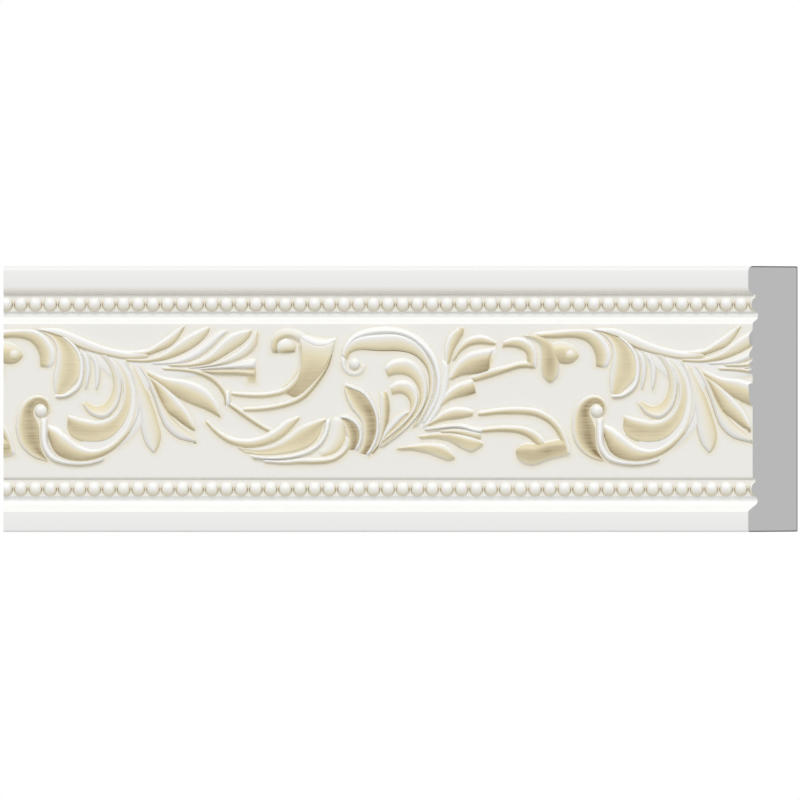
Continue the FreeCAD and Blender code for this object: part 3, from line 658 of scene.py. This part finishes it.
# Upper hook: the great C-shaped leaf with its rolled end, ribbed along its back, and two crooks inside
# it, all from one root between the buds and the left fan.
leaf("great_hook_back", RIB,
     [(341.5, 357), (344, 346), (352, 336), (362, 330.5), (378, 327.5), (396, 328), (412, 333),
      (426, 343), (435, 355), (440, 369), (441, 384), (438, 399), (431, 413), (424, 424)],
     [(344, 358), (347.5, 348.5), (356, 340), (366, 336), (381, 334), (397, 334.5), (410, 339),
      (421, 347.5), (429.5, 358), (434.5, 371), (436, 385), (433, 399), (427, 412), (421, 423)])
leaf("great_hook", FOLD,
     [(341, 358), (343, 349), (350, 341), (362, 336), (380, 334), (397, 334), (411, 339), (422, 348),
      (429.5, 360), (434, 373), (434, 388), (430, 402), (424, 415), (419, 424)],
     [(347, 360), (348.5, 355), (353.5, 351), (362, 349.5), (380, 350.5), (397, 350.5), (412, 353.5),
      (422, 361), (428, 371), (429.5, 386), (427, 400), (421, 413), (416, 423), (412, 429)],
     gilding=(0.45, 0.45, 0.4), foot=1.0)
leaf("great_hook_curl", PETAL,
     [(341, 355), (341, 365), (345.5, 373), (354, 376.5), (362, 373.5), (365.5, 365)],
     [(346, 357), (346.5, 365), (349.5, 369.5), (355, 371), (359.5, 369), (361.5, 363.5)],
     lift=(0.8, 0.6, 0.5), gilding=(0.3, 0.8, 1.0))
bead("great_hook_eye", (354.5, 364), 5.8, 1.7)
leaf("inner_crook", FOLD,
     [(384, 368), (391, 361), (402, 358.5), (414, 362), (423, 372.5), (427, 386), (426, 400),
      (420, 413), (409, 426), (396, 437), (382, 447)],
     [(388, 377), (395, 374.5), (404, 374.5), (412, 378.5), (418, 387), (420, 397), (418, 407),
      (411, 418), (401, 429), (390, 439), (379, 448)],
     gilding=(0.55, 0.45, 0.5))
leaf("small_crook", FOLD,
     [(390, 387), (397, 381.5), (407, 381), (415.5, 387), (418.5, 398), (415, 410), (407, 421),
      (396, 431), (383, 441)],
     [(392, 395), (399, 393), (406, 395.5), (410, 402), (410, 410), (405, 418), (396, 426), (386, 435),
      (378, 445)],
     gilding=(0.55, 0.45, 0.5))
leaf("crook_leaf", PETAL,
     [(411, 411), (400, 421), (389, 433), (380, 447)],
     [(403, 411), (392, 418), (383, 430), (376, 449)])

# Left fan: leaves on the back of the great hook, from its crown down to the foot of the field, which open
# to the right.
leaf("back_stem", PETAL,
     [(442, 360), (442.5, 378), (440, 395), (433, 411), (422, 427)],
     [(450, 362), (449.5, 380), (446, 396), (439, 412), (426, 430)])
leaf("back_leaf_1", FOLD,
     [(446, 367), (445, 355), (446, 343), (450, 334), (458, 327.5)],
     [(449, 366), (453, 353), (458, 343), (463, 335), (464, 328.5)])
leaf("back_leaf_2", FOLD,
     [(451, 362), (457, 349), (466, 339.5), (478, 335.5), (489, 337.5), (496, 342.5)],
     [(455, 360), (462, 351), (471, 345.5), (481, 344), (490, 345), (496, 345)])
leaf("back_leaf_3", FOLD,
     [(448, 379), (457, 363), (468, 353.5), (482, 349.5), (496, 348)],
     [(451, 380.5), (460, 376), (470, 374.5), (480, 373.5), (489.5, 372)],
     gilding=(0.45, 0.78, 0.95), tip_hollow=3.5)
leaf("back_leaf_4", FOLD,
     [(436, 408), (444, 395), (454, 386), (465, 381), (473, 379.5)],
     [(438, 409.5), (447, 402), (456, 398), (466, 396), (476, 393)],
     gilding=(0.3, 0.6, 0.85))
leaf("back_leaf_5", FOLD,
     [(422, 426), (434, 418.5), (444, 411), (455, 407.5), (466, 408), (474, 411)],
     [(424, 428), (436, 423), (448, 420), (460, 418.5), (473, 416)])
leaf("back_leaf_6", RIB,
     [(424, 428), (438, 426), (452, 424), (464, 424.5), (474, 427.5), (483, 429)],
     [(424, 430.5), (438, 429), (452, 427.5), (464, 428.5), (473, 431.5), (483, 432.5)])
leaf("back_leaf_7", FOLD,
     [(438, 430), (455, 428.5), (468, 430), (481, 433)],
     [(440, 433), (456, 434.5), (469, 438), (481, 440)])
leaf("back_leaf_8", CUPPED,
     [(418, 436), (434, 433), (450, 432.5), (464, 434.5), (476, 438), (483, 443)],
     [(420, 439), (436, 438.5), (450, 441.5), (461, 448), (472, 452), (483, 446)])
leaf("back_leaf_9", CUPPED,
     [(398, 448), (414, 445), (430, 443.5), (442, 444.5), (450, 449.5), (455, 457)],
     [(396, 449.5), (414, 450.5), (430, 454), (440, 458), (448, 460.5), (455, 459.5)])

# Arch: the two strands that lead from the left fan over to the next volute, one inside the other, and the
# gilt knob at their foot.
leaf("arch_strand", FOLD,
     [(478, 412), (495, 409), (510, 407.5), (525, 407.5), (538, 409.5), (550, 415.5), (559, 423.5),
      (565.5, 434), (569.5, 446), (571.5, 455)],
     [(478, 416), (495, 414.5), (510, 414), (525, 414.5), (536, 416.5), (547, 422), (554.5, 429.5),
      (559.5, 438), (562, 446), (563, 455)])
leaf("inner_strand", FOLD,
     [(480, 428.5), (496, 426.5), (512, 426), (524, 427), (534, 430.5), (542, 436.5), (546, 443)],
     [(481, 432.5), (497, 431.5), (511, 432), (521, 434), (529, 438), (535, 443.5), (539, 449)])
leaf("arch_foot", GILT_KNOB,
     [(516, 450), (519.5, 446), (526, 443.5), (535, 444), (546, 442), (557, 440), (568, 439)],
     [(516, 455), (519, 460.5), (526, 465), (535, 465.5), (547, 461), (558, 458), (570, 456)],
     gilding=(0.7, 0.88, 0.8), foot=0.3)


# Embossed and sawn stick: the roller leaves stick, pearls and leaves as one skin, and the saw then cuts a
# square end at the left and a mitre at the right.
SAW_MARGIN = 20 * MM

saw_block = bmesh.new()
bmesh.ops.create_cube(saw_block, size=1)
for vert in saw_block.verts:
    side = 1 if vert.co.x > 0 else -1
    vert.co.y *= 2 * HALF_LENGTH
    vert.co.z = SAW_MARGIN * 2 * vert.co.z + SAW_MARGIN / 2
    vert.co.x = HALF_LENGTH - vert.co.z if side > 0 else -HALF_LENGTH
kept_length = bpy.data.objects.new("kept_length", bpy.data.meshes.new("kept_length"))
saw_block.to_mesh(kept_length.data)
saw_block.free()
bpy.context.collection.objects.link(kept_length)

emboss = moulding.modifiers.new("emboss", "BOOLEAN")
emboss.operation = "UNION"
emboss.operand_type = "COLLECTION"
emboss.collection = relief
emboss.solver = "MANIFOLD"
saw = moulding.modifiers.new("saw", "BOOLEAN")
saw.operation = "INTERSECT"
saw.object = kept_length
saw.solver = "MANIFOLD"

finished = bpy.data.meshes.new_from_object(moulding.evaluated_get(bpy.context.evaluated_depsgraph_get()))
moulding.modifiers.clear()
moulding.data = finished


# Patina: thin gold wax that is brushed over the whole face and wiped off again. The same amounts also carry
# painted light: a painted highlight where they stay below the coat's share, and painted shade on faces turned
# down and below the leaves. Each leaf and pearl keeps what was set on it above, and the plain faces get
# theirs here, most of it in beds and beside the leaves.
BAND_GILDING = 0.12
# Slopes that face up towards the light keep almost no patina, which paints them whiter than the coat: a
# painted highlight.
LIT_SLOPE_HIGHLIGHT = 0.04
# The bed's gold is also set on faces turned down, away from the light, as painted shade.
BED_AND_SHADE_GILDING = 0.19
FIELD_GILDING = 0.165
# Gold on the field beside the leaves, most of it below them as painted shadow, a little as patina in the
# corner.
CREVICE_GOLD_AND_SHADOW = 0.22
CREVICE_REACH = 2.0 * MM
LIT_SLOPE_REACH = 44 * MM
LEAN = 0.1                              # from here on a face leans up or down the picture
SQUARE_ON = 0.9999                      # from here on a face is plain, not part of a rounding
MITRE_TURN = 0.5                        # only the mitre turns this far towards the right end


class Source:
    """One raised shape: its surface, and how much patina and painted light each of its points has."""

    def __init__(self, mesh):
        self.points = [vert.co.copy() for vert in mesh.vertices]
        self.faces = [face.vertices[:] for face in mesh.polygons]
        self.amounts = [point.value for point in mesh.attributes["patina_and_painted_light"].data]
        self.surface = BVHTree.FromPolygons(self.points, self.faces)

    def amount_at(self, point):
        """The patina and painted light at the nearest point of the surface."""
        near, normal, face, gap = self.surface.find_nearest(point)
        corners = self.faces[face]
        weights = poly_3d_calc([self.points[corner] for corner in corners], near)
        return sum(weight * self.amounts[corner] for weight, corner in zip(weights, corners))


sources = [Source(piece.data) for piece in relief.objects]
owners = [source for source in sources for face in source.faces]
all_points = [point for source in sources for point in source.points]
offsets = [sum(len(source.points) for source in sources[:place]) for place in range(len(sources))]
all_faces = [[offset + corner for corner in face]
             for source, offset in zip(sources, offsets) for face in source.faces]
raised = BVHTree.FromPolygons(all_points, all_faces)

patina_and_painted_light = finished.attributes.get("patina_and_painted_light")
if patina_and_painted_light:
    finished.attributes.remove(patina_and_painted_light)
patina_and_painted_light = finished.attributes.new("patina_and_painted_light", "FLOAT", "CORNER")
for face in finished.polygons:
    near, normal, source_face, gap = raised.find_nearest(face.center)
    face.use_smooth = True
    if gap < SAME_SURFACE:
        for corner in face.loop_indices:
            place = finished.vertices[finished.loops[corner].vertex_index].co
            patina_and_painted_light.data[corner].value = owners[source_face].amount_at(place)
    else:
        face.use_smooth = max(map(abs, face.normal)) < SQUARE_ON and face.normal.x < MITRE_TURN
        on_bed = abs(face.center.z - PEARL_BED * MM) < SAME_SURFACE
        on_field = abs(face.center.z - FIELD * MM) < SAME_SURFACE
        # Faces leaning down, away from the light, are painted with the bed's gold as painted shade.
        in_shade = face.normal.y < -LEAN and face.center.y > -FIELD_REACH
        # Faces leaning up towards the light are painted whiter as a painted highlight.
        lit_slope = face.normal.y > LEAN and abs(face.center.y) < LIT_SLOPE_REACH
        amount = BED_AND_SHADE_GILDING if on_bed or in_shade else LIT_SLOPE_HIGHLIGHT if lit_slope else BAND_GILDING
        for corner in face.loop_indices:
            patina_and_painted_light.data[corner].value = amount
            if on_field:
                place = finished.vertices[finished.loops[corner].vertex_index].co
                near, normal, source_face, gap = raised.find_nearest(place)
                # More gold below a leaf than above it: a painted shadow under the leaf.
                shadow_side = 0.5 + 0.5 * (near - place).normalized().y
                crevice_and_shadow = CREVICE_GOLD_AND_SHADOW * shadow_side * max(0, 1 - gap / CREVICE_REACH) ** 2
                patina_and_painted_light.data[corner].value = FIELD_GILDING + crevice_and_shadow
for spare in [kept_length] + relief.objects[:]:
    bpy.data.objects.remove(spare)
bpy.data.collections.remove(relief)


# Coat: a sprayed satin acrylic, near white with a soft sheen and a faint orange peel. The gold wax on it
# shows brush streaks, is a little glossier, and is drawn from the patina and painted light of each face.
# The first colour, whiter than the coat, is where no patina is set: a painted highlight on ribs, pearl tops
# and the edges and slopes that face the light.
PAINTED_HIGHLIGHT = "F8F8F6"
COAT = "EBEBE9"
THIN_WAX = "E3D8B6"
THICK_WAX = "BAAC8A"
# The darkest gold: thick patina in the deepest hollows, and painted shade in the gaps between pearls and at
# the lower feet of leaves.
DARK_WAX_AND_SHADE = "806E48"
THIN_AMOUNT = 0.45
THICK_AMOUNT = 0.8
STREAK_LENGTH = 18 * MM
STREAK_WIDTH = 0.7 * MM
STREAK_WEAR = (-0.13, 0.07)             # wax lost and gained in the brush streaks
PATCH_SIZE = 11 * MM
PATCH_WEAR = (-0.15, 0.07)              # the same in broad patches
NOISE_SPREAD = (0.3, 0.7)
COAT_ROUGHNESS = 0.5
WAX_ROUGHNESS = 0.4
PEEL_SIZE = 1.4 * MM
PEEL_DEPTH = 0.2 * MM
PEEL_STRENGTH = 0.06

coat = bpy.data.materials.new("wiped_acrylic_coat")
coat.use_nodes = True
coat.node_tree.nodes.clear()
gilt_and_light = add_node(coat.node_tree, "ShaderNodeAttribute", attribute_name="patina_and_painted_light")
place = add_node(coat.node_tree, "ShaderNodeTexCoord")
brush = add_node(coat.node_tree, "ShaderNodeMapping",
                 {"Vector": place.outputs["Object"], "Scale": (1 / STREAK_LENGTH, 1 / STREAK_WIDTH, 0)})
streaks = add_node(coat.node_tree, "ShaderNodeTexNoise",
                   {"Vector": brush.outputs[0], "Scale": 1.0, "Detail": 3.0})
streak_wear = add_node(coat.node_tree, "ShaderNodeMapRange",
                       {"Value": streaks.outputs[0], "From Min": NOISE_SPREAD[0], "From Max": NOISE_SPREAD[1],
                        "To Min": STREAK_WEAR[0], "To Max": STREAK_WEAR[1]})
patches = add_node(coat.node_tree, "ShaderNodeTexNoise",
                   {"Vector": place.outputs["Object"], "Scale": 1 / PATCH_SIZE, "Detail": 2.0})
patch_wear = add_node(coat.node_tree, "ShaderNodeMapRange",
                      {"Value": patches.outputs[0], "From Min": NOISE_SPREAD[0], "From Max": NOISE_SPREAD[1],
                       "To Min": PATCH_WEAR[0], "To Max": PATCH_WEAR[1]})
wear = add_node(coat.node_tree, "ShaderNodeMath", {0: streak_wear.outputs[0], 1: patch_wear.outputs[0]},
                operation="ADD")
thick = add_node(coat.node_tree, "ShaderNodeMath", {0: gilt_and_light.outputs["Fac"], 1: gilt_and_light.outputs["Fac"]},
                 operation="MULTIPLY")
wax_and_painted_light = add_node(coat.node_tree, "ShaderNodeMath",
                      {0: thick.outputs[0], 1: wear.outputs[0], 2: gilt_and_light.outputs["Fac"]},
                      operation="MULTIPLY_ADD", use_clamp=True)
coat_colour = add_node(coat.node_tree, "ShaderNodeValToRGB", {"Fac": wax_and_painted_light.outputs[0]})
# The ramp starts at a painted highlight, whiter than the coat, and runs through the coat to the golds.
coat_colour.color_ramp.elements[0].color = linear(PAINTED_HIGHLIGHT)
coat_colour.color_ramp.elements[1].color = linear(DARK_WAX_AND_SHADE)
for amount, colour in ((BAND_GILDING, COAT), (THIN_AMOUNT, THIN_WAX), (THICK_AMOUNT, THICK_WAX)):
    coat_colour.color_ramp.elements.new(amount).color = linear(colour)
sheen = add_node(coat.node_tree, "ShaderNodeMapRange",
                 {"Value": wax_and_painted_light.outputs[0], "To Min": COAT_ROUGHNESS, "To Max": WAX_ROUGHNESS})
peel = add_node(coat.node_tree, "ShaderNodeTexNoise",
                {"Vector": place.outputs["Object"], "Scale": 1 / PEEL_SIZE, "Detail": 1.0})
peel_bump = add_node(coat.node_tree, "ShaderNodeBump",
                     {"Height": peel.outputs[0], "Strength": PEEL_STRENGTH, "Distance": PEEL_DEPTH})
coat_shader = add_node(coat.node_tree, "ShaderNodeBsdfPrincipled",
                       {"Base Color": coat_colour.outputs[0], "Roughness": sheen.outputs[0], "IOR": 1.47,
                        "Normal": peel_bump.outputs[0]})
add_node(coat.node_tree, "ShaderNodeOutputMaterial", {"Surface": coat_shader.outputs[0]})


# Sawn core: the bare grey polystyrene foam that the saw leaves on the two ends and the extruder on the
# back. Its cells are too fine to see, so it is plain and matt.
CORE = "BEBEBE"

core = bpy.data.materials.new("sawn_foam_core")
core.use_nodes = True
core.node_tree.nodes.clear()
core_shader = add_node(core.node_tree, "ShaderNodeBsdfPrincipled",
                       {"Base Color": linear(CORE), "Roughness": 0.8, "IOR": 1.5})
add_node(core.node_tree, "ShaderNodeOutputMaterial", {"Surface": core_shader.outputs[0]})


# Edge line: where the saw cuts the mitre, a thin dark grey line runs along the two sides and the back of
# the sawn face.
EDGE_LINE_GREY = "565656"
EDGE_LINE_WIDTH = 0.42 * MM
SAME_POINT = 0.0001 * MM
MITRE_SLOPE = 0.7
MITRE_SKEW = 0.01
SHARP_ANGLE = radians(40)

edge_line = bpy.data.materials.new("sawn_edge_line")
edge_line.use_nodes = True
edge_line.node_tree.nodes.clear()
edge_line_shader = add_node(edge_line.node_tree, "ShaderNodeBsdfPrincipled",
                       {"Base Color": linear(EDGE_LINE_GREY), "Roughness": 0.7, "IOR": 1.5})
add_node(edge_line.node_tree, "ShaderNodeOutputMaterial", {"Surface": edge_line_shader.outputs[0]})

finished.materials.clear()
for material in (coat, core, edge_line):
    finished.materials.append(material)
sawn = bmesh.new()
sawn.from_mesh(finished)
for face in sawn.faces:
    face.material_index = 1 if face.normal.x < -LEVEL or face.normal.z < -LEVEL else 0
mitre = [face for face in sawn.faces
         if face.normal.x > MITRE_SLOPE and abs(face.normal.y) < MITRE_SKEW and not face.smooth]
for face in mitre:
    face.material_index = 1
edge_line_sides = ((Vector((0, HALF_WIDTH * MM, 0)), Vector((0, 1, 0))),
              (Vector((0, -HALF_WIDTH * MM, 0)), Vector((0, -1, 0))),
              (Vector((HALF_LENGTH, 0, 0)), Vector((1, 0, -1)).normalized()))
for corner, outward in edge_line_sides:
    mitre = cut_across(sawn, mitre, corner - outward * EDGE_LINE_WIDTH, outward)
    for face in mitre:
        if (face.calc_center_median() - corner).dot(outward) > -EDGE_LINE_WIDTH:
            face.material_index = 2
bmesh.ops.dissolve_degenerate(sawn, dist=SAME_POINT, edges=sawn.edges[:])
sawn.to_mesh(finished)
sawn.free()
finished.set_sharp_from_angle(angle=SHARP_ANGLE)

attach(moulding, "root")
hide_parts("panel_moulding")
